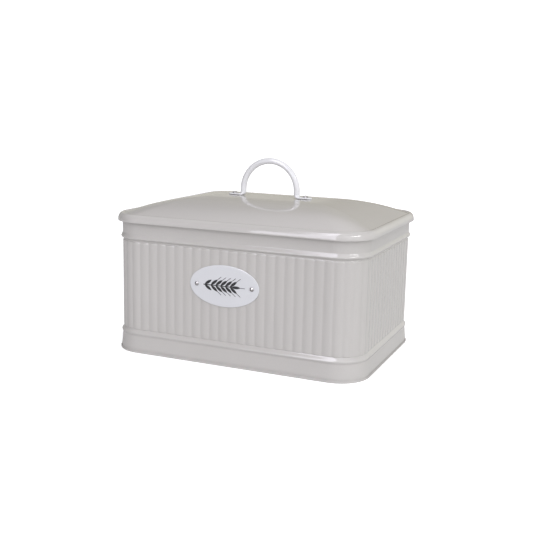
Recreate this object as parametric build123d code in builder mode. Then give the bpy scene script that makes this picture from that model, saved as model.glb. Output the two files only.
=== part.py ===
from build123d import *
import math
import os

os.makedirs("parts", exist_ok=True)

# A bread bin of painted sheet steel: a rounded rectangular bin with upright ribs, and a domed lid that lifts off.
# Millimetres, +Z up. X runs along the bin, -Y is its front. The origin is the centre of the base, on the table.
# A point of a ring's section is (out, z): out is its distance outside the outline of the rib crests.

# ---- driving dimensions ----
LENGTH = 340.0  # over the crests of the ribs, along X
WIDTH = 246.0  # over the crests of the ribs, along Y
CORNER_RADIUS = 38.0  # of the crests' outline, seen from above
SHEET = 0.6  # thickness of all the sheet steel

# ---- bin ----
SEAM_OUT = 4.0  # the base pan's folded edge, the widest part of the bin
SEAM_HEIGHT = 2.9
FLOOR_Z = 3.2  # top of the recessed floor
FLOOR_LAP = 1.0  # the flat floor runs this far into the ring of the folded edge
PAN_LEG_OUT = 2.2  # outer face of the leg that joins the floor to the folded edge
FOOT_OUT = 3.3  # foot of the wall, inside the folded edge
FOOT_Z = 0.66  # its lower edge, on the folded sheet
LOWER_BEAD_Z = 23.0  # undercut of the lower bead
RIB_BOTTOM_Z = 31.0
RIB_TOP_Z = 148.0
RIB_DEPTH = 1.0
RIB_COUNT = 88  # all round, corners included
FIRST_VALLEY = -1.8  # how far along the front from its middle the first valley lies
UPPER_BEAD_Z = 149.0  # undercut of the upper bead
BAND_OUT = 1.2  # where the wall meets the undercut of either bead
UPPER_BAND_OUT = 0.4  # the plain band above the ribs
BEAD_OUT = 2.3  # crests of the two beads
BEAD_SHOULDER = 1.7  # where a bead turns from convex to concave
BEAD_HEIGHT = 8.0
BEAD_CREST_UP = 1.8  # heights over the undercut: of the crest,
BEAD_SHOULDER_UP = 4.2  # of the shoulder,
BEAD_HOLLOW_UP = 6.0  # and of the hollow above it
RIM_RADIUS = 1.3
RIM_Z = 179.8  # centre of the rolled rim
RIM_OUT = 1.0

# ---- label ----
LABEL_X = -6.0
LABEL_Z = 102.5
LABEL_LENGTH = 95.0
LABEL_HEIGHT = 53.0
LABEL_THICKNESS = 1.2
LABEL_RIVET_SPACING = 75.6
RIVET_RADIUS = 1.5
RIVET_HEAD_RADIUS = 2.8
RIVET_HEAD_HEIGHT = 1.5
HEAD_ROUNDING = 0.8  # the share of a head's height that is rounded, on rivets and screws
RIVET_TAIL_RADIUS = 2.3
RIVET_TAIL_HEIGHT = 1.0
LABEL_WASHER_RADIUS = 3.5
LABEL_WASHER_THICKNESS = 0.7
MOTIF_THICKNESS = 0.12
MOTIF_LENGTH = 57.0
STEM_WIDTH = 1.2
GRAIN_ROWS = 5  # pairs of grains along the printed ear of wheat
GRAIN_LENGTH = 12.5
GRAIN_WIDTH = 3.6
GRAIN_STEP = 6.6
GRAIN_LEAN = 38.0  # degrees from the stem
AWN_LENGTH = 6.0  # the bristle at the tip of each grain
AWN_WIDTH = 0.6
LEAF_LENGTH = 12.0
LEAF_WIDTH = 3.6
LEAF_LEAN = 34.0
LEAF_UP = 1.5  # how far up the stem the leaves start

# ---- lid ----
LIP_OUT = 6.2  # outer face of the lip
LIP_BOTTOM_Z = 172.2
LIP_SIDE_Z = 174.2  # where the lip's side turns over into its top
LIP_TOP_Z = 182.6
LIP_CREST_OUT = 0.3  # the highest line of the lip
CREASE_OUT = -2.2  # the line where the lip meets the dome
CREASE_Z = 181.4
DOME_RISE = 21.0
DOME_INSET = 100.0  # how far in from the crease the dome keeps rising
DOME_CORNER = 36.0  # corner radius of the dome at the crease
DOME_CORNER_LOSS = 0.32  # what the corner radius loses for each millimetre of inset
COLLAR_OUT = -1.4  # outer face of the collar
COLLAR_HEIGHT = 14.0
COLLAR_FLANGE = 3.6

# ---- handle ----
ROD_RADIUS = 4.0
ARCH_RADIUS = 38.75  # to the rod's centreline
ARCH_Z = 211.4  # centre of the arch
BEND_RADIUS = 5.0  # where each leg turns out into its foot
FOOT_END = 60.0  # the feet reach this far along X
FOOT_WIDTH = 11.0
FOOT_THICKNESS = 2.4
SCREW_X = 51.5
SCREW_RADIUS = 2.0
SCREW_HEAD_RADIUS = 3.5
SCREW_HEAD_HEIGHT = 2.3
WASHER_RADIUS = 4.5
WASHER_THICKNESS = 0.8
NUT_ACROSS = 7.0
NUT_HEIGHT = 3.2
THREAD_END = 1.5  # what the screw stands below its nut

# ---- worked out from those ----
DOME_TOP_Z = CREASE_Z + DOME_RISE
DOME_DROP = SHEET * 1.08  # from the dome's outer face straight down to its inner face
LID_UNDER_Z = DOME_TOP_Z - DOME_DROP
DOME_STEPS = [DOME_INSET * step for step in (0, 0.1, 0.2, 0.3, 0.45, 0.6, 0.8, 1)]
RIB_LAP_OUT = -0.2  # where the lower bead's top meets the ribs, just behind their crests
SHELF_DEPTH = RIB_DEPTH + SHEET + 0.2  # the shelves that close the ribs' ends reach this far in
SHELF_HEIGHT = 1.4
LIP_LAP = 2.2  # how far the lip's sheet runs in under the edge of the dome
COLLAR_TOP_Z = CREASE_Z - SHEET
FRONT_Y = -WIDTH / 2  # the crests of the front ribs
LABEL_PLANE = Plane(origin=(LABEL_X, FRONT_Y, LABEL_Z), x_dir=(1, 0, 0), z_dir=(0, -1, 0))
RIVET_LENGTH = LABEL_THICKNESS + RIB_DEPTH + SHEET + LABEL_WASHER_THICKNESS
SCREW_XS = (-SCREW_X, SCREW_X)
SCREW_LENGTH = FOOT_THICKNESS + DOME_TOP_Z - LID_UNDER_Z + WASHER_THICKNESS + NUT_HEIGHT + THREAD_END
ROD_END_X = ARCH_RADIUS + BEND_RADIUS
ROD_END_Z = DOME_TOP_Z + ROD_RADIUS + 0.05  # the round rod clears the lid
FOOT_START_X = SCREW_X - SCREW_HEAD_RADIUS - 0.4  # where the hammered end is fully flat


def rounded_path():
    """The crests' outline as a closed path that starts at the middle of the front."""
    with BuildLine() as path:
        Polyline(
            (0, FRONT_Y),
            (LENGTH / 2, FRONT_Y),
            (LENGTH / 2, -FRONT_Y),
            (-LENGTH / 2, -FRONT_Y),
            (-LENGTH / 2, FRONT_Y),
            (0, FRONT_Y),
        )
        corners = path.vertices().filter_by(lambda v: abs(v.X) > 1)
        fillet(corners, CORNER_RADIUS)
    return path.wire()


def section_plane():
    """The plane of a ring's section: its X is out from the front's crests, and its Y is up."""
    return Plane(origin=(0, FRONT_Y, 0), x_dir=(0, -1, 0), z_dir=(-1, 0, 0))


def outline_point(along, out):
    """The point of the crests' outline at a length along it from the middle of the front, moved out by `out`."""
    straights = (LENGTH - 2 * CORNER_RADIUS, WIDTH - 2 * CORNER_RADIUS) * 2
    bend = CORNER_RADIUS * math.pi / 2
    rest = (along + straights[0] / 2) % (sum(straights) + 4 * bend)
    start = Vector(-straights[0] / 2, FRONT_Y)
    ahead = Vector(1, 0)
    for straight in straights:
        outward = ahead.rotate(Axis.Z, -90)
        if rest < straight:
            return start + ahead * rest + outward * out
        rest -= straight
        centre = start + ahead * straight - outward * CORNER_RADIUS
        if rest < bend:
            return centre + outward.rotate(Axis.Z, 90 * rest / bend) * (CORNER_RADIUS + out)
        rest -= bend
        start = centre + ahead * CORNER_RADIUS
        ahead = ahead.rotate(Axis.Z, 90)


def valley(i):
    """Where the valley before rib i lies, as a length along the outline. The ribs are evenly spaced all round."""
    straights = 2 * (LENGTH + WIDTH - 4 * CORNER_RADIUS)
    pitch = (straights + 2 * math.pi * CORNER_RADIUS) / RIB_COUNT
    return FIRST_VALLEY + pitch * i


def bead_section(low, end_out):
    """The outer line of a bead, from its undercut at height `low` up to the plain wall at `end_out`."""
    shoulder = (BEAD_SHOULDER, low + BEAD_SHOULDER_UP)
    hollow = ((BEAD_SHOULDER + 2 * end_out) / 3, low + BEAD_HOLLOW_UP)
    ThreePointArc((BAND_OUT, low), (BEAD_OUT, low + BEAD_CREST_UP), shoulder)
    ThreePointArc(shoulder, hollow, (end_out, low + BEAD_HEIGHT))


def dome_height(inset):
    """How high the dome stands over its crease, at a distance in from it."""
    return DOME_RISE * (1 - (1 - inset / DOME_INSET) ** 2)


def pointed_leaf(x, lean, length, width, bristle):
    """A grain or leaf that starts on the stem at x, leans away from it in degrees, and may end in a bristle."""
    along = Vector(1, 0).rotate(Axis.Z, lean)
    across = along.rotate(Axis.Z, 90) * width / 2
    base = Vector(x, 0)
    middle = base + along * length / 2
    tip = base + along * length
    with BuildLine() as edge:
        ThreePointArc(base, middle + across, tip)
        ThreePointArc(tip, middle - across, base)
    make_face(edge.edges())
    if bristle:
        with BuildLine() as awn:
            Line(tip - along, tip + along * bristle)
        trace(awn.edges(), line_width=AWN_WIDTH)


def export(part, name):
    """Labels one finished piece and writes it."""
    part.label = name
    export_step(part, f"parts/{name}.step")


# ---- body_wall: one strip of sheet, ribbed between its two beads, with a rolled rim ----
with BuildPart() as body_wall:
    with BuildSketch(Plane.XY.offset(RIB_BOTTOM_Z)):
        for out, mode in ((0, Mode.ADD), (-SHEET, Mode.SUBTRACT)):
            with BuildLine():
                for i in range(RIB_COUNT):
                    ThreePointArc(
                        outline_point(valley(i), out - RIB_DEPTH),
                        outline_point((valley(i) + valley(i + 1)) / 2, out),
                        outline_point(valley(i + 1), out - RIB_DEPTH),
                    )
            make_face(mode=mode)
    extrude(amount=RIB_TOP_Z - RIB_BOTTOM_Z)
    with BuildSketch(section_plane()):
        with BuildLine():
            Line((FOOT_OUT, FOOT_Z), (BAND_OUT, LOWER_BEAD_Z))
            bead_section(LOWER_BEAD_Z, RIB_LAP_OUT)
            offset(amount=-SHEET, side=Side.LEFT)
        make_face()
        with Locations((-SHELF_DEPTH, RIB_BOTTOM_Z - SHEET)):
            Rectangle(SHELF_DEPTH + RIB_LAP_OUT, SHELF_HEIGHT, align=(Align.MIN, Align.MIN))
    sweep(path=rounded_path())
    with BuildSketch(section_plane()):
        with BuildLine():
            bead_section(UPPER_BEAD_Z, UPPER_BAND_OUT)
            Line((UPPER_BAND_OUT, UPPER_BEAD_Z + BEAD_HEIGHT), (UPPER_BAND_OUT, RIM_Z))
            offset(amount=-SHEET, side=Side.LEFT)
        make_face()
        with Locations((-SHELF_DEPTH, RIB_TOP_Z)):
            Rectangle(SHELF_DEPTH + BAND_OUT + 0.2, SHELF_HEIGHT, align=(Align.MIN, Align.MIN))
        with Locations((RIM_OUT, RIM_Z)):
            Circle(RIM_RADIUS)
    sweep(path=rounded_path())
    with Locations(LABEL_PLANE.offset(LABEL_THICKNESS)):
        with GridLocations(LABEL_RIVET_SPACING, 1, 2, 1):
            Hole(RIVET_RADIUS, depth=RIVET_LENGTH)
export(body_wall.part, "body_wall")

# ---- base_pan: the recessed floor, hooked round the foot of the wall ----
with BuildPart() as base_pan:
    with BuildSketch(Plane.XY.offset(FLOOR_Z - SHEET)):
        RectangleRounded(LENGTH + 2 * FLOOR_LAP, WIDTH + 2 * FLOOR_LAP, CORNER_RADIUS + FLOOR_LAP)
    extrude(amount=SHEET)
    with BuildSketch(section_plane()):
        with BuildLine():
            Polyline(
                (PAN_LEG_OUT - SHEET, 0),
                (SEAM_OUT, 0),
                (SEAM_OUT, SEAM_HEIGHT),
                (SEAM_OUT - SHEET, SEAM_HEIGHT),
                (SEAM_OUT - SHEET, SHEET),
                (PAN_LEG_OUT, SHEET),
                (PAN_LEG_OUT, FLOOR_Z),
                (0, FLOOR_Z),
                (0, FLOOR_Z - SHEET),
                (PAN_LEG_OUT - SHEET, FLOOR_Z - SHEET),
                close=True,
            )
        make_face()
    sweep(path=rounded_path())
export(base_pan.part, "base_pan")

# ---- label_plate: an oval plate that lies on the crests of the front ribs ----
with BuildPart() as label_plate:
    with BuildSketch(LABEL_PLANE):
        Ellipse(LABEL_LENGTH / 2, LABEL_HEIGHT / 2)
        with GridLocations(LABEL_RIVET_SPACING, 1, 2, 1):
            Circle(RIVET_RADIUS, mode=Mode.SUBTRACT)
    extrude(amount=LABEL_THICKNESS)
export(label_plate.part, "label_plate")

# ---- label_motif: a printed ear of wheat, lying along the plate ----
with BuildPart() as label_motif:
    with BuildSketch(LABEL_PLANE.offset(LABEL_THICKNESS)):
        top_grain = MOTIF_LENGTH / 2 - AWN_LENGTH - GRAIN_LENGTH
        with BuildLine():
            Line((-MOTIF_LENGTH / 2, 0), (top_grain + 1, 0))
        trace(line_width=STEM_WIDTH)
        pointed_leaf(top_grain, 0, GRAIN_LENGTH, GRAIN_WIDTH, AWN_LENGTH)
        for side in (-1, 1):
            for row in range(GRAIN_ROWS):
                base = top_grain - GRAIN_STEP * (row + 0.3)
                pointed_leaf(base, side * GRAIN_LEAN, GRAIN_LENGTH, GRAIN_WIDTH, AWN_LENGTH)
            pointed_leaf(LEAF_UP - MOTIF_LENGTH / 2, side * LEAF_LEAN, LEAF_LENGTH, LEAF_WIDTH, 0)
    extrude(amount=MOTIF_THICKNESS)
export(label_motif.part, "label_motif")

# ---- label_rivets: round heads on the plate, tails closed on washers inside the wall ----
with BuildPart() as label_rivets:
    with Locations(LABEL_PLANE.offset(LABEL_THICKNESS)):
        with GridLocations(LABEL_RIVET_SPACING, 1, 2, 1):
            Cylinder(RIVET_HEAD_RADIUS, RIVET_HEAD_HEIGHT, align=(Align.CENTER, Align.CENTER, Align.MIN))
    fillet(label_rivets.edges().group_by(Axis.Y)[0], RIVET_HEAD_HEIGHT * HEAD_ROUNDING)
    with Locations(LABEL_PLANE.offset(LABEL_THICKNESS)):
        with GridLocations(LABEL_RIVET_SPACING, 1, 2, 1):
            Cylinder(RIVET_RADIUS, RIVET_LENGTH, align=(Align.CENTER, Align.CENTER, Align.MAX))
    with Locations(LABEL_PLANE.offset(LABEL_THICKNESS - RIVET_LENGTH)):
        with GridLocations(LABEL_RIVET_SPACING, 1, 2, 1):
            Cylinder(RIVET_TAIL_RADIUS, RIVET_TAIL_HEIGHT, align=(Align.CENTER, Align.CENTER, Align.MAX))
export(label_rivets.part, "label_rivets")

# ---- label_washers: between the wall's inner side and the rivets' tails ----
with BuildPart() as label_washers:
    with BuildSketch(LABEL_PLANE.offset(-RIB_DEPTH - SHEET)):
        with GridLocations(LABEL_RIVET_SPACING, 1, 2, 1):
            Circle(LABEL_WASHER_RADIUS)
            Circle(RIVET_RADIUS, mode=Mode.SUBTRACT)
    extrude(amount=-LABEL_WASHER_THICKNESS)
export(label_washers.part, "label_washers")

# ---- lid_shell: a shallow dome inside a rolled-over lip ----
with BuildPart() as lid_shell:
    for drop, mode in ((0, Mode.ADD), (DOME_DROP, Mode.SUBTRACT)):
        for inset in DOME_STEPS:
            with BuildSketch(Plane.XY.offset(CREASE_Z + dome_height(inset) - drop)):
                RectangleRounded(
                    LENGTH + 2 * (CREASE_OUT - inset),
                    WIDTH + 2 * (CREASE_OUT - inset),
                    DOME_CORNER - DOME_CORNER_LOSS * inset,
                )
        loft(ruled=True, mode=mode)
    with BuildSketch(section_plane()):
        with BuildLine():
            Line((CREASE_OUT - LIP_LAP, CREASE_Z), (CREASE_OUT, CREASE_Z))
            Line((CREASE_OUT, CREASE_Z), (LIP_CREST_OUT, LIP_TOP_Z))
            ThreePointArc(
                (LIP_CREST_OUT, LIP_TOP_Z),
                (
                    LIP_CREST_OUT + (LIP_OUT - LIP_CREST_OUT) * math.sqrt(0.5),
                    LIP_SIDE_Z + (LIP_TOP_Z - LIP_SIDE_Z) * math.sqrt(0.5),
                ),
                (LIP_OUT, LIP_SIDE_Z),
            )
            Line((LIP_OUT, LIP_SIDE_Z), (LIP_OUT, LIP_BOTTOM_Z))
            offset(amount=-SHEET, side=Side.RIGHT)
        make_face()
    sweep(path=rounded_path())
    with Locations(*[(x, 0, DOME_TOP_Z) for x in SCREW_XS]):
        Hole(SCREW_RADIUS, depth=2 * DOME_DROP)
export(lid_shell.part, "lid_shell")

# ---- lid_collar: a strip that centres the lid in the bin's mouth, on a flange welded under the lid ----
with BuildPart() as lid_collar:
    with BuildSketch(section_plane()):
        with BuildLine():
            Polyline(
                (COLLAR_OUT, COLLAR_TOP_Z),
                (COLLAR_OUT, COLLAR_TOP_Z - COLLAR_HEIGHT),
                (COLLAR_OUT - SHEET, COLLAR_TOP_Z - COLLAR_HEIGHT),
                (COLLAR_OUT - SHEET, COLLAR_TOP_Z - SHEET),
                (COLLAR_OUT - COLLAR_FLANGE, COLLAR_TOP_Z - SHEET),
                (COLLAR_OUT - COLLAR_FLANGE, COLLAR_TOP_Z),
                close=True,
            )
        make_face()
    sweep(path=rounded_path())
export(lid_collar.part, "lid_collar")

# ---- handle: a round rod bent to an arch, its ends hammered flat to feet ----
with BuildPart() as handle:
    with BuildLine(Plane.XZ):
        CenterArc((0, ARCH_Z), ARCH_RADIUS, 0, 180)
        for side in (-1, 1):
            Line((side * ARCH_RADIUS, ARCH_Z), (side * ARCH_RADIUS, ROD_END_Z + BEND_RADIUS))
            ThreePointArc(
                (side * ARCH_RADIUS, ROD_END_Z + BEND_RADIUS),
                (
                    side * (ARCH_RADIUS + BEND_RADIUS * (1 - math.sqrt(0.5))),
                    ROD_END_Z + BEND_RADIUS * (1 - math.sqrt(0.5)),
                ),
                (side * ROD_END_X, ROD_END_Z),
            )
    with BuildSketch(Plane(origin=(ROD_END_X, 0, ROD_END_Z), z_dir=(1, 0, 0))):
        Circle(ROD_RADIUS)
    sweep()
    for side in (-1, 1):
        with BuildSketch(Plane(origin=(side * ROD_END_X, 0, ROD_END_Z), x_dir=(0, 1, 0), z_dir=(side, 0, 0))):
            Circle(ROD_RADIUS)
        with BuildSketch(
            Plane(
                origin=(side * FOOT_START_X, 0, DOME_TOP_Z + FOOT_THICKNESS / 2),
                x_dir=(0, 1, 0),
                z_dir=(side, 0, 0),
            )
        ):
            Ellipse(FOOT_WIDTH / 2, FOOT_THICKNESS / 2)
        loft()
    with BuildSketch(Plane.XY.offset(DOME_TOP_Z)):
        for side in (-1, 1):
            with Locations((side * (FOOT_START_X + FOOT_END - FOOT_WIDTH / 2) / 2, 0)):
                Rectangle(FOOT_END - FOOT_WIDTH / 2 - FOOT_START_X, FOOT_WIDTH)
            with Locations((side * (FOOT_END - FOOT_WIDTH / 2), 0)):
                Circle(FOOT_WIDTH / 2)
            with Locations((side * SCREW_X, 0)):
                Circle(SCREW_RADIUS, mode=Mode.SUBTRACT)
    extrude(amount=FOOT_THICKNESS)
export(handle.part, "handle")

# ---- handle_screws: round heads on the feet, shanks down through the lid ----
with BuildPart() as handle_screws:
    with Locations(*[(x, 0, DOME_TOP_Z + FOOT_THICKNESS) for x in SCREW_XS]):
        Cylinder(SCREW_HEAD_RADIUS, SCREW_HEAD_HEIGHT, align=(Align.CENTER, Align.CENTER, Align.MIN))
    fillet(handle_screws.edges().group_by(Axis.Z)[-1], SCREW_HEAD_HEIGHT * HEAD_ROUNDING)
    with Locations(*[(x, 0, DOME_TOP_Z + FOOT_THICKNESS) for x in SCREW_XS]):
        Cylinder(SCREW_RADIUS, SCREW_LENGTH, align=(Align.CENTER, Align.CENTER, Align.MAX))
export(handle_screws.part, "handle_screws")

# ---- handle_washers: under the lid ----
with BuildPart() as handle_washers:
    with BuildSketch(Plane.XY.offset(LID_UNDER_Z)):
        with Locations(*[(x, 0) for x in SCREW_XS]):
            Circle(WASHER_RADIUS)
            Circle(SCREW_RADIUS, mode=Mode.SUBTRACT)
    extrude(amount=-WASHER_THICKNESS)
export(handle_washers.part, "handle_washers")

# ---- handle_nuts: under the washers ----
with BuildPart() as handle_nuts:
    with BuildSketch(Plane.XY.offset(LID_UNDER_Z - WASHER_THICKNESS)):
        with Locations(*[(x, 0) for x in SCREW_XS]):
            RegularPolygon(NUT_ACROSS / 2, 6, major_radius=False)
            Circle(SCREW_RADIUS, mode=Mode.SUBTRACT)
    extrude(amount=-NUT_HEIGHT)
export(handle_nuts.part, "handle_nuts")
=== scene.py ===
import math

import bpy
import numpy as np
from mathutils import Matrix, Vector


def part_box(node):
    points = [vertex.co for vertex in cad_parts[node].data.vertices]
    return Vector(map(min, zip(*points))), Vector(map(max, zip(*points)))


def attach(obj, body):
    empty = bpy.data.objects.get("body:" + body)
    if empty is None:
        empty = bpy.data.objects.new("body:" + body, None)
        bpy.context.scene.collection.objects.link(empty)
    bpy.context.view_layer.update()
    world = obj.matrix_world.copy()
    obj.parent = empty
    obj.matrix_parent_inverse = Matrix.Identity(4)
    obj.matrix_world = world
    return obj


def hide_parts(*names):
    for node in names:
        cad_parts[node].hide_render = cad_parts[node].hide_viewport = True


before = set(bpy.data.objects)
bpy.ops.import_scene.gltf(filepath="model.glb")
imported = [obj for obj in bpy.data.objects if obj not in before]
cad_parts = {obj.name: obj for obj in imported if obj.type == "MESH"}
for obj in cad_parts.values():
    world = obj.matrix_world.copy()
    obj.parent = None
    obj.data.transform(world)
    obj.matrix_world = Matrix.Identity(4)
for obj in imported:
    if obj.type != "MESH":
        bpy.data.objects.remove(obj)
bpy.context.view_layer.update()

# A bread bin of glossy enamelled sheet steel, standing on a pale floor. All shapes are in millimetres and
# make_object scales them to metres. A section's points are (out, z): out from the plan's outline, which runs
# through the crests of the ribs, and up from the floor.

MM = 0.001  # metres


def node_box(node):
    """The two corners of a CAD node, in millimetres."""
    return tuple(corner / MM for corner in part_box(node))


WALL_LOW, WALL_HIGH = node_box("body_wall")
PAN_HIGH = node_box("base_pan")[1]
LID_LOW, LID_HIGH = node_box("lid_shell")
COLLAR_LOW, COLLAR_HIGH = node_box("lid_collar")
PLATE_LOW, PLATE_HIGH = node_box("label_plate")
HANDLE_HIGH = node_box("handle")[1]
SCREWS_LOW, SCREWS_HIGH = node_box("handle_screws")
RIVETS_LOW, RIVETS_HIGH = node_box("label_rivets")

# ---- plan ----
SHEET = 0.6  # thickness of every sheet
FOOT_OUT = 3.3  # how far the wall's foot flares past the ribs
HALF_LENGTH = WALL_HIGH.x - FOOT_OUT
HALF_WIDTH = WALL_HIGH.y - FOOT_OUT
CORNER_RADIUS = 38.0

# ---- wall ----
FOOT_Z = WALL_LOW.z + 0.1
LOWER_BEAD_Z = 23.0
UPPER_BEAD_Z = 149.0
BEAD_OUT = 2.3
BEAD_START = -0.8  # heights from a bead's base line: where its undercut starts
BEAD_CREST = 2.8
BEAD_END = 8.0  # where its slope ends
BAND_OUT = 1.2  # the plain band below the lower bead
UPPER_BAND_OUT = 0.4  # the plain band above the upper bead
RIM_RADIUS = 1.3
RIM_OUT = 1.0
RIM_Z = WALL_HIGH.z - RIM_RADIUS

# ---- ribs ----
RIB_COUNT = 88
FIRST_VALLEY = -1.8  # along the front, from its middle
RIB_DEPTH = 1.0
RIB_HALF_WIDTH = 6.3
RIB_BOTTOM_Z = 31.0
RIB_TOP_Z = 146.8
RIB_END = 0.7  # height over which a rib's end rises out of the wall
RIB_CORNER = 3.2  # radius of the corners of a rib's end, seen from the front
RIB_COLUMNS = 10  # columns of faces to each rib
RIB_END_ROWS = (0.1, 0.3, 0.6, 1.0, 1.5, 2.1, 2.8, 3.6, 4.6)  # rows of points near a rib's end, from that end

# ---- base pan ----
SEAM_OUT = PAN_HIGH.x - HALF_LENGTH
SEAM_TOP_Z = 2.9
FLOOR_Z = PAN_HIGH.z
PAN_LEG_OUT = 2.2  # the outer side of the fold inside the wall
PAN_MIDDLE = -HALF_WIDTH + 1.0  # the innermost row of the pan's floor

# ---- label ----
LABEL_STEPS = 128
LABEL_MIDDLE = 12.0  # inset of the innermost row of each face

# ---- lid ----
HEM_OUT = LID_HIGH.x - HALF_LENGTH - 0.02
HEM_WIDTH = 2.4  # from the hem's inner edge to its outer one
HEM_ROLL = 0.75  # radius of its inner edge
HEM_EDGE = 0.45  # radius of its outer edge
LIP_BOTTOM_Z = LID_LOW.z
LIP_SIDE_Z = 172.7  # where the lip's upright side ends
LIP_TOP_Z = 182.6
LIP_CREST_OUT = 0.3
CREASE_OUT = -2.2  # the crease between the lip and the dome
CREASE_Z = 181.4
DOME_TOP_Z = LID_HIGH.z
DOME_INSET = 100.0  # from the crease to where the dome is level
DOME_CORNER = 36.0  # radius of the dome's corners at the crease
DOME_CORNER_LOSS = 0.32  # how much the corner's radius shrinks for each millimetre of inset
DOME_ROWS = (0.5, 1.0, 2.0, 3.5, 6, 9, 13, 18, 24, 30, 37, 44, 52, 60, 68, 76, 84, 92, 100, 112)
DOME_DROP = SHEET * 1.08  # from the dome's outer face straight down to its inner one

# ---- handle ----
ROD_RADIUS = 4.0
ARCH_RADIUS = 38.75  # to the middle of the rod
ARCH_Z = HANDLE_HIGH.z - ROD_RADIUS - ARCH_RADIUS
FOOT_END = HANDLE_HIGH.x
FOOT_HALF_WIDTH = HANDLE_HIGH.y
FOOT_THICKNESS = 2.4
LOW_BEND = 6.0  # radius of the bend from foot to rod, on the side under the arch
HIGH_BEND = 1.6  # and on the outer side
FOOT_EXPONENT = 2.6  # of the foot's section, which is squarer than the rod's
ROD_EXPONENT = 2.0

# ---- noise scales, per metre ----
DRIFT_SCALE = 9  # the enamel's tone
FLECK_SCALE = 700  # its speckle
GLOSS_SCALE = 40  # its roughness
WAVE_SCALE = 30  # its slow waves
PEEL_SCALE = 260  # its orange peel
STAIN_SCALE = 350  # the steel's tone
WORN_SCALE = 900  # its roughness
BRUSH_SCALE = 1800  # its brush marks

# ---- stage ----
BACKDROP = 1.1  # strength of the white that the camera sees behind the object
FLOOR_SIZE = 6.0  # metres from its middle to its edge
FLOOR_TONE = 0.72
FLOOR_GLOW = 0.6  # added for the camera only, so that the floor is white in the picture too
WINDOW_DISTANCE = 20.0  # metres
WINDOW_AIM = Vector((0, 0, 0.1))
WINDOW_COLOUR = (0.98, 0.95, 1.07)

# Soft light from all round: azimuth, elevation, reach in degrees, strength, colour. Azimuth 0 is the front.
WORLD_LOBES = (
    (-20, 8, 40, 0.920, (1.0, 0.97, 1.05)),
    (20, 8, 40, 1.100, (1.0, 1.0, 1.05)),
    (60, 8, 40, 1.500, (1.0, 1.01, 1.03)),
    (100, 8, 40, 0.663, (1.0, 1.02, 1.0)),
    (140, 8, 40, 0.947, (1.0, 1.0, 0.955)),
    (-126, 4, 30, 0.350, (1.0, 1.03, 0.95)),
    (-153, 1, 15, 0.220, (1.0, 1.0, 0.95)),
    (-172, 12, 40, 0.400, (1.0, 0.95, 0.77)),
    (-172, 55, 30, 0.800, (1.0, 0.96, 1.02)),
    (20, 42, 40, 1.185, (1.0, 1.0, 1.05)),
    (60, 42, 40, 0.534, (1.0, 1.03, 1.08)),
    (0, 90, 60, 0.780, (1.0, 0.985, 0.995)),
)

# Windows that only the gloss shows: name, azimuth, elevation, width and height in degrees, strength, colour.
WINDOWS = (
    ("window_low", -12, 8, 24, 22, 16, WINDOW_COLOUR),
    ("window_middle", -10.5, 29, 21, 20, 16, WINDOW_COLOUR),
    ("window_high", -12, 53, 24, 28, 22, WINDOW_COLOUR),
    ("window_bar", -15, 31, 18, 3, 16, WINDOW_COLOUR),
    ("window_edge", -22.4, 48, 2.4, 14, 26, WINDOW_COLOUR),
    ("side_window", 67, 30, 28, 7, 38, (1.0, 0.99, 0.98)),
)

# ---- camera, fitted to the object's edges ----
CAMERA_AZIMUTH = 23.252
CAMERA_ELEVATION = 11.164
CAMERA_ROLL = 1.202
CAMERA_LENS = 57.73
CAMERA_SENSOR = 36.0
CAMERA_DISTANCE = 1169.34
CAMERA_RIGHT = -2.363  # shifts of the camera, along its own axes
CAMERA_UP = 11.273
CAMERA_AIM_Z = 95.24

# ======================================================================
# Meshes
# ======================================================================


def make_object(name, points, faces, material):
    """A smooth-shaded mesh object from points in millimetres."""
    mesh = bpy.data.meshes.new(name)
    mesh.from_pydata((np.asarray(points, float) * MM).tolist(), [], faces)
    mesh.polygons.foreach_set("use_smooth", [True] * len(mesh.polygons))
    mesh.update()
    made = bpy.data.objects.new(name, mesh)
    bpy.context.scene.collection.objects.link(made)
    mesh.materials.append(material)
    return made


def grid_faces(rows, columns, wrap_rows, first=0):
    """Quads of a grid whose columns close on themselves, and whose rows may too."""
    faces = []
    for i in range(rows if wrap_rows else rows - 1):
        low, high = first + i * columns, first + (i + 1) % rows * columns
        for j in range(columns):
            beside = (j + 1) % columns
            faces.append((low + j, low + beside, high + beside, high + j))
    return faces


def capped_faces(rows, columns, first=0):
    """The same, closed at both ends on a single point: the two points that follow the grid."""
    faces = grid_faces(rows, columns, False, first)
    start = first + rows * columns
    last = start - columns
    for j in range(columns):
        beside = (j + 1) % columns
        faces.append((first + beside, first + j, start))
        faces.append((last + j, last + beside, start + 1))
    return faces


def even_columns(straight_steps, corner_steps):
    """Where each column of a plain ring lies: its side or corner, and its share of the way along that."""
    side, share = [], []
    for k in range(8):
        steps = corner_steps if k % 2 else straight_steps
        side += [k] * steps
        share += [i / steps for i in range(steps)]
    return np.array(side), np.array(share)


def rib_columns():
    """The same for the ribbed wall, evenly spaced so that each valley is on a column."""
    bend = CORNER_RADIUS * math.pi / 2
    straights = (2 * (HALF_LENGTH - CORNER_RADIUS), 2 * (HALF_WIDTH - CORNER_RADIUS))
    lengths = np.array([straights[0], bend, straights[1], bend] * 2)
    ends = np.cumsum(lengths)
    count = RIB_COUNT * RIB_COLUMNS
    along = (FIRST_VALLEY + straights[0] / 2 + np.arange(count) * ends[-1] / count) % ends[-1]
    side = np.searchsorted(ends, along, side="right")
    return side, (along - (ends - lengths)[side]) / lengths[side]


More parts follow.
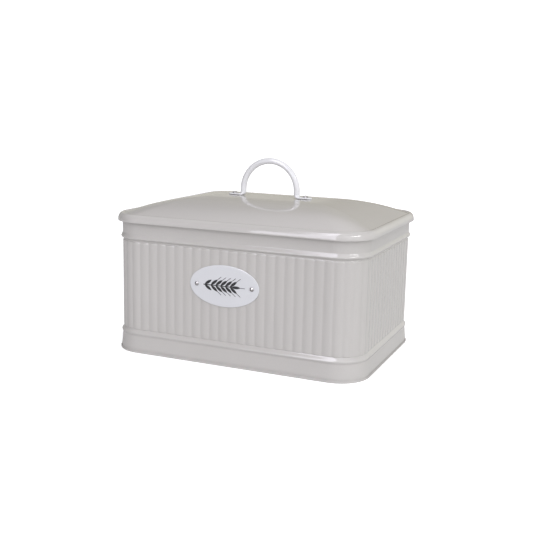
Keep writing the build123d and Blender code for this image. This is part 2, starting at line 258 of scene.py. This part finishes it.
def ring_row(columns, out, z, inset=0.0, radius=CORNER_RADIUS):
    """Points round the plan's outline, moved in by inset to corners of that radius, and then out by out."""
    side, share = columns
    turn = side // 2
    odd = turn % 2 == 1
    ahead = np.where(odd, HALF_WIDTH, HALF_LENGTH) - inset - radius  # to the centre of the corner's arc
    beside = np.where(odd, HALF_LENGTH, HALF_WIDTH) - inset - radius
    bend = radius + out
    straight = side % 2 == 0
    angle = share * math.pi / 2
    x = np.where(straight, (2 * share - 1) * ahead, ahead + bend * np.sin(angle))
    y = -beside - np.where(straight, bend, bend * np.cos(angle))
    cos, sin = np.array([1, 0, -1, 0])[turn], np.array([0, 1, 0, -1])[turn]
    return np.stack([x * cos - y * sin, x * sin + y * cos, np.broadcast_to(z, x.shape)], axis=1)


def arc(centre, radius, start, end, steps):
    """Points of a section along an arc. Angles are in degrees: 0 is outward and 90 is up."""
    return [
        (centre[0] + radius * math.cos(a), centre[1] + radius * math.sin(a))
        for a in np.radians(np.linspace(start, end, steps + 1))
    ]


def curve(start, start_pull, end_pull, end, steps):
    """Points along a Bezier curve, its first point left out."""
    a, b, c, d = (np.array(p, float) for p in (start, start_pull, end_pull, end))
    made = []
    for t in np.linspace(0, 1, steps + 1)[1:]:
        u = 1 - t
        made.append(tuple(u**3 * a + 3 * u * u * t * b + 3 * u * t * t * c + t**3 * d))
    return made


def line(start, end, steps):
    """Points along a straight run, its first point left out."""
    return [tuple(p) for p in np.linspace(start, end, steps + 1)[1:]]


def ring(name, section, material, columns):
    """A ring swept round the plan from a closed section, whose points go up the outer side first."""
    rows = [ring_row(columns, out, z) for out, z in section]
    return make_object(name, np.concatenate(rows), grid_faces(len(rows), len(columns[0]), True), material)


def revolved(name, section, places, axis, material, steps=40):
    """Copies of a turned shape. The section's (radius, height) points start and end on the axis."""
    points, faces = [], []
    across = Vector((1, 0, 0))
    beside = axis.cross(across)
    for place in places:
        first = len(points)
        for radius, height in section[1:-1]:
            for j in range(steps):
                a = 2 * math.pi * j / steps
                points.append(place + (across * math.cos(a) + beside * math.sin(a)) * radius + axis * height)
        points.append(place + axis * section[0][1])
        points.append(place + axis * section[-1][1])
        faces += capped_faces(len(section) - 2, steps, first)
    return make_object(name, [tuple(p) for p in points], faces, material)


# ======================================================================
# Materials
# ======================================================================


def surface(name, colour, roughness, metallic=0.0):
    """A Principled material with plain values, and its nodes, links and shader to build on."""
    material = bpy.data.materials.new(name)
    material.use_nodes = True
    nodes = material.node_tree.nodes
    shader = nodes.get("Principled BSDF") or nodes.new("ShaderNodeBsdfPrincipled")
    shader.inputs["Base Color"].default_value = (*colour, 1)
    shader.inputs["Roughness"].default_value = roughness
    shader.inputs["IOR"].default_value = 1.5
    shader.inputs["Metallic"].default_value = metallic
    return material, nodes, material.node_tree.links, shader


def noise(nodes, links, scale, detail, stretch=None):
    """A 3-D noise in the object's own metres; its Fac output."""
    place = nodes.new("ShaderNodeTexCoord").outputs["Object"]
    if stretch:
        mapping = nodes.new("ShaderNodeMapping")
        mapping.inputs["Scale"].default_value = stretch
        links.new(place, mapping.inputs["Vector"])
        place = mapping.outputs["Vector"]
    made = nodes.new("ShaderNodeTexNoise")
    made.inputs["Scale"].default_value = scale
    made.inputs["Detail"].default_value = detail
    links.new(place, made.inputs["Vector"])
    return made.outputs["Fac"]


def spread(nodes, links, factor, low, high):
    """A noise's factor remapped, so that the middle of its range runs from low to high."""
    made = nodes.new("ShaderNodeMapRange")
    made.inputs["From Min"].default_value = 0.3
    made.inputs["From Max"].default_value = 0.7
    made.inputs["To Min"].default_value = low
    made.inputs["To Max"].default_value = high
    links.new(factor, made.inputs["Value"])
    return made.outputs["Result"]


def tinted(nodes, links, factor, first, second):
    """A colour between two, by a noise."""
    mix = nodes.new("ShaderNodeMix")
    mix.data_type = "RGBA"
    mix.inputs["A"].default_value = (*first, 1)
    mix.inputs["B"].default_value = (*second, 1)
    links.new(spread(nodes, links, factor, 0, 1), mix.inputs["Factor"])
    return mix.outputs["Result"]


def bump(nodes, links, shader, height, distance, under=None):
    """Adds a bump to the shader, over another one if given."""
    made = nodes.new("ShaderNodeBump")
    made.inputs["Strength"].default_value = 1.0
    made.inputs["Distance"].default_value = distance
    links.new(height, made.inputs["Height"])
    if under:
        links.new(under.outputs["Normal"], made.inputs["Normal"])
    links.new(made.outputs["Normal"], shader.inputs["Normal"])
    return made


def enamel(name, first, second, roughness, peel):
    """Sprayed and baked enamel: a drifting tone, faint speckle, and orange peel that the gloss shows."""
    material, nodes, links, shader = surface(name, first, roughness)
    drift = tinted(nodes, links, noise(nodes, links, DRIFT_SCALE, 2), first, second)
    speckle = nodes.new("ShaderNodeMix")
    speckle.data_type = "RGBA"
    speckle.blend_type = "MULTIPLY"
    speckle.inputs["Factor"].default_value = 1.0
    grey = nodes.new("ShaderNodeCombineColor")
    fleck = spread(nodes, links, noise(nodes, links, FLECK_SCALE, 2), 0.985, 1.01)
    for channel in ("Red", "Green", "Blue"):
        links.new(fleck, grey.inputs[channel])
    links.new(drift, speckle.inputs["A"])
    links.new(grey.outputs["Color"], speckle.inputs["B"])
    links.new(speckle.outputs["Result"], shader.inputs["Base Color"])
    rough = spread(nodes, links, noise(nodes, links, GLOSS_SCALE, 3), roughness * 0.85, roughness * 1.2)
    links.new(rough, shader.inputs["Roughness"])
    waves = bump(nodes, links, shader, noise(nodes, links, WAVE_SCALE, 1), peel * 6)
    bump(nodes, links, shader, noise(nodes, links, PEEL_SCALE, 1), peel, waves)
    return material


def steel(name, colour, roughness):
    """Bare steel, faintly brushed and stained."""
    material, nodes, links, shader = surface(name, colour, roughness, metallic=1.0)
    darker = tuple(c * 0.7 for c in colour)
    stain = tinted(nodes, links, noise(nodes, links, STAIN_SCALE, 4), colour, darker)
    links.new(stain, shader.inputs["Base Color"])
    rough = spread(nodes, links, noise(nodes, links, WORN_SCALE, 3), roughness * 0.7, roughness * 1.4)
    links.new(rough, shader.inputs["Roughness"])
    bump(nodes, links, shader, noise(nodes, links, BRUSH_SCALE, 2, (1, 1, 0.15)), 0.00001)
    return material


GREIGE = enamel("greige_enamel", (0.520, 0.502, 0.480), (0.532, 0.514, 0.493), 0.04, 0.000005)
WHITE = enamel("white_enamel", (0.720, 0.720, 0.730), (0.735, 0.735, 0.745), 0.16, 0.000004)
LABEL_WHITE = enamel("label_enamel", (0.665, 0.670, 0.690), (0.680, 0.685, 0.705), 0.22, 0.000004)
BLACK = enamel("black_print", (0.010, 0.010, 0.011), (0.016, 0.016, 0.018), 0.35, 0.000003)
STEEL = steel("bare_steel", (0.42, 0.41, 0.40), 0.28)

# ======================================================================
# The bin
# ======================================================================


def rib_height(across, from_end):
    """How far a rib stands out, from 0 to 1, at a place across it (-1 to 1) and at a height from its end."""
    past = np.clip(np.abs(across) * RIB_HALF_WIDTH - (RIB_HALF_WIDTH - RIB_CORNER), 0, RIB_CORNER)
    rise = (from_end - (RIB_CORNER - np.sqrt(RIB_CORNER**2 - past**2))) / RIB_END
    return (1 - across**2) * np.sqrt(1 - (1 - np.clip(rise, 0, 1)) ** 2)


def bead(low, below_out, above_out):
    """The outer line of a bead: its tight undercut, its crest, and the long slope back to the wall above."""
    start = (below_out, low + BEAD_START)
    crest = (BEAD_OUT, low + BEAD_CREST)
    end = (above_out, low + BEAD_END)
    undercut = curve(start, (below_out, low + 0.6), (BEAD_OUT, low + 0.6), crest, 8)
    slope = curve(crest, (BEAD_OUT, low + 4.2), (above_out, low + 6.6), end, 11)
    return [start] + undercut + slope


def wall_rows():
    """The wall's section: up its outer side, over the rolled rim and down its inner side."""
    outer = [(FOOT_OUT - 0.35, FOOT_Z), (FOOT_OUT - 0.1, FOOT_Z + 0.05), (FOOT_OUT - 0.03, FOOT_Z + 0.25)]
    outer += line(outer[-1], (BAND_OUT, LOWER_BEAD_Z - 1.6), 3)
    outer += bead(LOWER_BEAD_Z, BAND_OUT, -RIB_DEPTH)
    outer += [(-RIB_DEPTH, RIB_BOTTOM_Z + up) for up in RIB_END_ROWS]
    outer += line(outer[-1], (-RIB_DEPTH, RIB_TOP_Z - RIB_END_ROWS[-1]), 4)
    outer += [(-RIB_DEPTH, RIB_TOP_Z - down) for down in RIB_END_ROWS[-2::-1]] + [(-RIB_DEPTH, RIB_TOP_Z)]
    outer += bead(UPPER_BEAD_Z, -RIB_DEPTH, UPPER_BAND_OUT)
    outer += line(outer[-1], (UPPER_BAND_OUT, RIM_Z - 1.6), 2)
    sheet = np.array(outer)
    ahead = np.gradient(sheet, axis=0)
    normal = np.stack([ahead[:, 1], -ahead[:, 0]], axis=1)
    inner = sheet - normal / np.linalg.norm(normal, axis=1, keepdims=True) * SHEET
    rim = arc((RIM_OUT, RIM_Z), RIM_RADIUS, -65, 205, 11)
    keep = [i for i in range(len(inner)) if i % 3 == 0 or i < 3]  # all at the foot, and a third of the others
    return outer + rim + [tuple(inner[i]) for i in reversed(keep)]


def build_wall():
    """The ribbed wall as one closed strip."""
    columns = rib_columns()
    count = len(columns[0])
    across = 2 * (np.arange(count) % RIB_COLUMNS) / RIB_COLUMNS - 1
    rows = []
    for out, z in wall_rows():
        from_end = min(z - RIB_BOTTOM_Z, RIB_TOP_Z - z)
        lift = RIB_DEPTH * rib_height(across, from_end) if from_end > 0 else np.zeros(count)
        rows.append(ring_row(columns, out + lift, z))
    return make_object("wall", np.concatenate(rows), grid_faces(len(rows), count, True), GREIGE)


def build_pan():
    """The recessed floor, with its edge folded up round the foot of the wall."""
    leg = PAN_LEG_OUT
    low, inner = FLOOR_Z - SHEET, leg - SHEET
    section = [(PAN_MIDDLE, low), (-40, low), (0, low)]
    section += curve((0.9, low), (1.4, low), (inner, 2.4), (inner, 1.9), 4)
    section += [(inner, 0.5)] + arc((inner + 0.5, 0.5), 0.5, 180, 270, 4)[1:]
    section += arc((SEAM_OUT - 0.8, 0.8), 0.8, 270, 360, 6)
    section += arc((SEAM_OUT - 0.3, SEAM_TOP_Z - 0.3), 0.3, 0, 180, 8)
    section += [(SEAM_OUT - SHEET, 1.1)] + arc((SEAM_OUT - SHEET - 0.4, 1.02), 0.4, 0, -90, 3)
    section += [(leg + 0.3, SHEET + 0.02), (leg, SHEET + 0.3)]
    section += curve((leg, 2.2), (leg, FLOOR_Z - 0.2), (leg - 0.3, FLOOR_Z), (1.2, FLOOR_Z), 5)
    section += [(0, FLOOR_Z), (-40, FLOOR_Z), (PAN_MIDDLE, FLOOR_Z)]
    columns = even_columns(10, 32)
    rows = []
    for out, z in section:
        inset = max(-out, 0)
        rows.append(ring_row(columns, max(out, 0), z, inset, max(CORNER_RADIUS - inset, 0.5)))
    points = np.concatenate([*rows, [(0, 0, low), (0, 0, FLOOR_Z)]])
    return make_object("pan", points, capped_faces(len(rows), len(columns[0])), GREIGE)


def build_label():
    """The enamelled oval plate, flat in front with a rounded edge."""
    centre = (PLATE_LOW + PLATE_HIGH) / 2
    half_length, half_height = (PLATE_HIGH.x - PLATE_LOW.x) / 2, (PLATE_HIGH.z - PLATE_LOW.z) / 2
    back, front = PLATE_HIGH.y, PLATE_LOW.y
    deep = back - front
    profile = [(LABEL_MIDDLE, 0.0), (1.0, 0.0), (0.3, 0.08), (0.05, 0.3), (0.0, deep - 0.55)]
    profile += [(0.12, deep - 0.3), (0.35, deep - 0.13), (0.7, deep - 0.03), (1.2, deep), (4.0, deep)]
    profile += [(LABEL_MIDDLE, deep)]
    angles = 2 * math.pi * np.arange(LABEL_STEPS) / LABEL_STEPS
    rows = []
    for inset, up in profile:
        x = centre.x + (half_length - inset) * np.cos(angles)
        z = centre.z + (half_height - inset) * np.sin(angles)
        rows.append(np.stack([x, np.full(LABEL_STEPS, back - up), z], axis=1))
    points = np.concatenate([*rows, [(centre.x, back, centre.z), (centre.x, front, centre.z)]])
    return make_object("label", points, capped_faces(len(rows), LABEL_STEPS), LABEL_WHITE)


# ======================================================================
# The lid
# ======================================================================


def dome_row(columns, inset, drop):
    """A row of points round the dome, that far in from the crease and that far under its outer face."""
    past = 1 - min(inset, DOME_INSET) / DOME_INSET
    z = CREASE_Z + (DOME_TOP_Z - CREASE_Z) * (1 - past**2) - drop
    return ring_row(columns, 0, z, inset - CREASE_OUT, DOME_CORNER - DOME_CORNER_LOSS * inset)


def lip_arc(shrink, start, end, count):
    """Points of the lip's elliptical shoulder, or of one that is smaller all round."""
    wide, tall = HEM_OUT - LIP_CREST_OUT - shrink, LIP_TOP_Z - LIP_SIDE_Z - shrink
    angles = np.radians(np.linspace(start, end, count))
    return [(LIP_CREST_OUT + wide * math.cos(a), LIP_SIDE_Z + tall * math.sin(a)) for a in angles]


def build_lid():
    """The lid: down the inner skin from its middle, round the hem, up the lip, and over the dome."""
    columns = even_columns(14, 36)
    under = lip_arc(SHEET, 90, 6, 12)
    hem = arc((HEM_OUT - HEM_WIDTH + HEM_ROLL, LIP_BOTTOM_Z + HEM_ROLL), HEM_ROLL, 180, 270, 5)
    hem += arc((HEM_OUT - HEM_EDGE, LIP_BOTTOM_Z + HEM_EDGE), HEM_EDGE, -90, 4, 9)
    lip = lip_arc(0, 1, 90, 24)
    lip += curve(lip[-1], (-1.0, LIP_TOP_Z), (-1.7, CREASE_Z + 0.2), (CREASE_OUT, CREASE_Z + 0.05), 6)
    rows = [dome_row(columns, inset, DOME_DROP) for inset in reversed((0, *DOME_ROWS))]
    rows += [ring_row(columns, out, z) for out, z in under + hem + lip]
    rows += [dome_row(columns, inset, 0) for inset in DOME_ROWS]
    points = np.concatenate([*rows, [(0, 0, DOME_TOP_Z - DOME_DROP), (0, 0, DOME_TOP_Z)]])
    return make_object("lid", points, capped_faces(len(rows), len(columns[0])), GREIGE)


def build_collar():
    """The strip that centres the lid in the bin's mouth."""
    low, high = COLLAR_LOW.z, COLLAR_HIGH.z
    out = COLLAR_HIGH.x - HALF_LENGTH
    flange = out - 3.6  # the flange that is welded to the lid
    section = arc((out - 0.3, low + 0.3), 0.3, 180, 360, 6) + line((out, low + 0.3), (out, high - 0.5), 3)
    section += arc((out - 0.5, high - 0.5), 0.5, 0, 90, 4) + [(flange, high), (flange, high - SHEET)]
    section += [(out - SHEET, high - SHEET), (out - SHEET, high - SHEET - 0.2), (out - SHEET, low + 0.5)]
    return ring("collar", section, GREIGE, even_columns(6, 24))


def handle_stations():
    """Half the handle, from a foot's tip to the arch: upper point, lower point, half-width, exponent."""
    low, high = DOME_TOP_Z, DOME_TOP_Z + FOOT_THICKNESS
    half = FOOT_HALF_WIDTH
    round_x = FOOT_END - half  # where the foot's round end starts
    low_x, high_x = ARCH_RADIUS - ROD_RADIUS, ARCH_RADIUS + ROD_RADIUS
    made = []
    for a in np.radians(np.linspace(86, 0, 14)):
        x = round_x + half * math.sin(a)
        thin = 0.5 * max(0, 1 - (FOOT_END - x) / 0.8) ** 2
        made.append(((x, high - thin), (x, low + thin), max(half * math.cos(a), 0.3), FOOT_EXPONENT))
    for t in np.linspace(0, 1, 7)[1:]:
        top = round_x + (high_x + HIGH_BEND - round_x) * t
        under = round_x + (low_x + LOW_BEND - round_x) * t
        made.append(((top, high), (under, low), half, FOOT_EXPONENT))
    for t in np.linspace(0, 1, 13)[1:]:
        a = math.pi / 2 * t
        top = (high_x + HIGH_BEND * (1 - math.sin(a)), high + HIGH_BEND * (1 - math.cos(a)))
        under = (low_x + LOW_BEND * (1 - math.sin(a)), low + LOW_BEND * (1 - math.cos(a)))
        smooth = t * t * (3 - 2 * t)
        exponent = FOOT_EXPONENT + (ROD_EXPONENT - FOOT_EXPONENT) * smooth
        made.append((top, under, half + (ROD_RADIUS - half) * smooth, exponent))
    for t in (0.35, 0.7):
        top = (high_x, high + HIGH_BEND + (ARCH_Z - high - HIGH_BEND) * t)
        under = (low_x, low + LOW_BEND + (ARCH_Z - low - LOW_BEND) * t)
        made.append((top, under, ROD_RADIUS, ROD_EXPONENT))
    return made


def build_handle():
    """The arched handle: a round rod whose ends are hammered out to flat feet."""
    half = handle_stations()
    arch = []
    for a in np.linspace(0, math.pi, 49):
        outer, inner = (
            (radius * math.cos(a), ARCH_Z + radius * math.sin(a))
            for radius in (ARCH_RADIUS + ROD_RADIUS, ARCH_RADIUS - ROD_RADIUS)
        )
        arch.append((outer, inner, ROD_RADIUS, ROD_EXPONENT))
    mirrored = [((-o[0], o[1]), (-i[0], i[1]), w, n) for o, i, w, n in reversed(half)]
    stations = half + arch + mirrored
    count = 32
    points = []
    for outer, inner, half_width, exponent in stations:
        outer, inner = np.array(outer), np.array(inner)
        middle, lift = (outer + inner) / 2, (outer - inner) / 2
        for j in range(count):
            a = 2 * math.pi * (j + 0.5) / count
            cos, sin = math.cos(a), math.sin(a)
            x, z = middle + lift * math.copysign(abs(sin) ** (2 / exponent), sin)
            points.append((x, math.copysign(abs(cos) ** (2 / exponent), cos) * half_width, z))
    for (outer, inner, *_), past in ((stations[0], 0.02), (stations[-1], -0.02)):
        points.append(((outer[0] + inner[0]) / 2 + past, 0, (outer[1] + inner[1]) / 2))
    return make_object("handle_rod", points, capped_faces(len(stations), count), WHITE)


def head_section(radius, height, length):
    """The section of a round head on a plain shank, from the shank's end to the top of the head."""
    shank = radius * 0.55
    section = [(0, -length), (shank, -length), (shank, -0.1), (shank, 0), (radius * 0.9, 0)]
    section += [(radius * 0.985, height * 0.05)]
    for a in np.radians(np.linspace(8, 84, 10)):
        section.append((radius * math.cos(a) ** 0.9, height * (0.1 + 0.9 * math.sin(a))))
    return section + [(0, height)]


def build_screws():
    """The two round-headed screws through the handle's feet."""
    radius = SCREWS_HIGH.y
    x = SCREWS_HIGH.x - radius
    top = SCREWS_HIGH.z
    height = top - DOME_TOP_Z - FOOT_THICKNESS
    places = [Vector((side * x, 0, top - height)) for side in (-1, 1)]
    section = head_section(radius, height, top - height - SCREWS_LOW.z)
    return revolved("screws", section, places, Vector((0, 0, 1)), STEEL)


def build_rivets():
    """The two rivets that hold the label."""
    radius = (RIVETS_HIGH.z - RIVETS_LOW.z) / 2
    height = PLATE_LOW.y - RIVETS_LOW.y
    z = (RIVETS_HIGH.z + RIVETS_LOW.z) / 2
    places = [Vector((x, PLATE_LOW.y, z)) for x in (RIVETS_LOW.x + radius, RIVETS_HIGH.x - radius)]
    section = head_section(radius, height, RIVETS_HIGH.y - PLATE_LOW.y)
    return revolved("rivets", section, places, Vector((0, -1, 0)), STEEL, 32)


# Each piece: the function that makes it, the body it rides on, the CAD nodes it stands for, and its slot.
PIECES = (
    (build_wall, "bin", ("body_wall",), "greige_enamel"),
    (build_pan, "bin", ("base_pan",), "greige_enamel"),
    (build_label, "bin", ("label_plate",), "white_enamel"),
    (build_rivets, "bin", ("label_rivets",), "bare_steel"),
    (build_lid, "lid", ("lid_shell",), "greige_enamel"),
    (build_collar, "lid", ("lid_collar",), "greige_enamel"),
    (build_handle, "lid", ("handle",), "white_paint"),
    (build_screws, "lid", ("handle_screws",), "bare_steel"),
)
for build, body, replaced, slot in PIECES:
    piece = build()
    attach(piece, body)
    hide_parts(*replaced)

# CAD nodes that are shown as they are, each with its material.
KEPT_NODES = {"label_motif": BLACK, "label_washers": STEEL, "handle_washers": STEEL, "handle_nuts": STEEL}
for node, material in KEPT_NODES.items():
    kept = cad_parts[node]
    kept.data.materials.clear()
    kept.data.materials.append(material)

# ======================================================================
# The stage
# ======================================================================


def direction(azimuth, elevation):
    """The unit vector toward a place on the sky, from angles in degrees."""
    a, e = math.radians(azimuth), math.radians(elevation)
    return Vector((math.sin(a) * math.cos(e), -math.cos(a) * math.cos(e), math.sin(e)))


def lobe(nodes, links, place, azimuth, elevation, reach, strength, colour):
    """Light from round one direction, as a colour: full in its middle, and fading out at its reach."""
    dot = nodes.new("ShaderNodeVectorMath")
    dot.operation = "DOT_PRODUCT"
    dot.inputs[1].default_value = direction(azimuth, elevation)
    links.new(place, dot.inputs[0])
    fade = nodes.new("ShaderNodeMapRange")
    fade.interpolation_type = "SMOOTHSTEP"
    fade.inputs["From Min"].default_value = math.cos(math.radians(reach))
    fade.inputs["From Max"].default_value = 1.0
    fade.inputs["To Min"].default_value = 0.0
    fade.inputs["To Max"].default_value = strength
    links.new(dot.outputs["Value"], fade.inputs["Value"])
    tint = nodes.new("ShaderNodeVectorMath")
    tint.operation = "SCALE"
    tint.inputs[0].default_value = colour
    links.new(fade.outputs["Result"], tint.inputs["Scale"])
    return tint.outputs["Vector"]


def build_world():
    """White where the camera sees it directly, and the lobes of soft light for everything else."""
    world = bpy.data.worlds.new("studio")
    bpy.context.scene.world = world
    world.use_nodes = True
    nodes, links = world.node_tree.nodes, world.node_tree.links
    nodes.clear()
    place = nodes.new("ShaderNodeTexCoord").outputs["Generated"]
    total = lobe(nodes, links, place, *WORLD_LOBES[0])
    for values in WORLD_LOBES[1:]:
        add = nodes.new("ShaderNodeVectorMath")
        add.operation = "ADD"
        links.new(total, add.inputs[0])
        links.new(lobe(nodes, links, place, *values), add.inputs[1])
        total = add.outputs["Vector"]
    studio = nodes.new("ShaderNodeBackground")
    links.new(total, studio.inputs["Color"])
    white = nodes.new("ShaderNodeBackground")
    white.inputs["Color"].default_value = (1, 1, 1, 1)
    white.inputs["Strength"].default_value = BACKDROP
    path = nodes.new("ShaderNodeLightPath")
    mix = nodes.new("ShaderNodeMixShader")
    links.new(path.outputs["Is Camera Ray"], mix.inputs["Fac"])
    links.new(studio.outputs["Background"], mix.inputs[1])
    links.new(white.outputs["Background"], mix.inputs[2])
    output = nodes.new("ShaderNodeOutputWorld")
    links.new(mix.outputs["Shader"], output.inputs["Surface"])


def window(name, azimuth, elevation, width, height, strength, colour):
    """An area light that faces the object's middle and shows only in glossy reflections."""
    data = bpy.data.lights.new(name, "AREA")
    data.shape = "RECTANGLE"
    data.size = 2 * WINDOW_DISTANCE * math.tan(math.radians(width / 2))
    data.size_y = 2 * WINDOW_DISTANCE * math.tan(math.radians(height / 2))
    data.energy = strength * data.size * data.size_y
    data.color = colour
    lamp = bpy.data.objects.new(name, data)
    back = direction(azimuth, elevation)
    lamp.location = WINDOW_AIM + back * WINDOW_DISTANCE
    lamp.rotation_mode = "QUATERNION"
    lamp.rotation_quaternion = back.to_track_quat("Z", "Y")
    lamp.visible_camera = False
    lamp.visible_diffuse = False
    bpy.context.scene.collection.objects.link(lamp)


def build_floor():
    """The floor, which lights the object from below as pale card would, and is white in the picture."""
    mesh = bpy.data.meshes.new("floor")
    corners = [(x * FLOOR_SIZE, y * FLOOR_SIZE, 0) for x, y in ((-1, -1), (1, -1), (1, 1), (-1, 1))]
    mesh.from_pydata(corners, [], [(0, 1, 2, 3)])
    floor = bpy.data.objects.new("floor", mesh)
    bpy.context.scene.collection.objects.link(floor)
    material, nodes, links, shader = surface("pale_floor", (FLOOR_TONE, FLOOR_TONE, FLOOR_TONE), 0.9)
    shader.inputs["Specular IOR Level"].default_value = 0.0
    shader.inputs["Emission Color"].default_value = (1, 1, 1, 1)
    glow = nodes.new("ShaderNodeMath")
    glow.operation = "MULTIPLY"
    glow.inputs[1].default_value = FLOOR_GLOW
    links.new(nodes.new("ShaderNodeLightPath").outputs["Is Camera Ray"], glow.inputs[0])
    links.new(glow.outputs["Value"], shader.inputs["Emission Strength"])
    mesh.materials.append(material)


def place_camera():
    """The camera at the photograph's viewing angle."""
    azimuth, roll = math.radians(CAMERA_AZIMUTH), math.radians(CAMERA_ROLL)
    back = direction(CAMERA_AZIMUTH, CAMERA_ELEVATION)
    right = Vector((math.cos(azimuth), math.sin(azimuth), 0))
    up = back.cross(right)
    spot = back * CAMERA_DISTANCE + right * CAMERA_RIGHT + up * CAMERA_UP + Vector((0, 0, CAMERA_AIM_Z))
    tilted_right = right * math.cos(roll) + up * math.sin(roll)
    tilted_up = up * math.cos(roll) - right * math.sin(roll)
    turn = Matrix((tilted_right, tilted_up, back)).transposed().to_4x4()
    data = bpy.data.cameras.new("camera")
    data.sensor_width = CAMERA_SENSOR
    data.lens = CAMERA_LENS
    data.clip_start = 0.01
    camera = bpy.data.objects.new("camera", data)
    bpy.context.scene.collection.objects.link(camera)
    camera.matrix_world = Matrix.Translation(spot * MM) @ turn
    bpy.context.scene.camera = camera


build_world()
for values in WINDOWS:
    window(*values)
build_floor()
place_camera()
bpy.context.scene.view_settings.view_transform = "Standard"
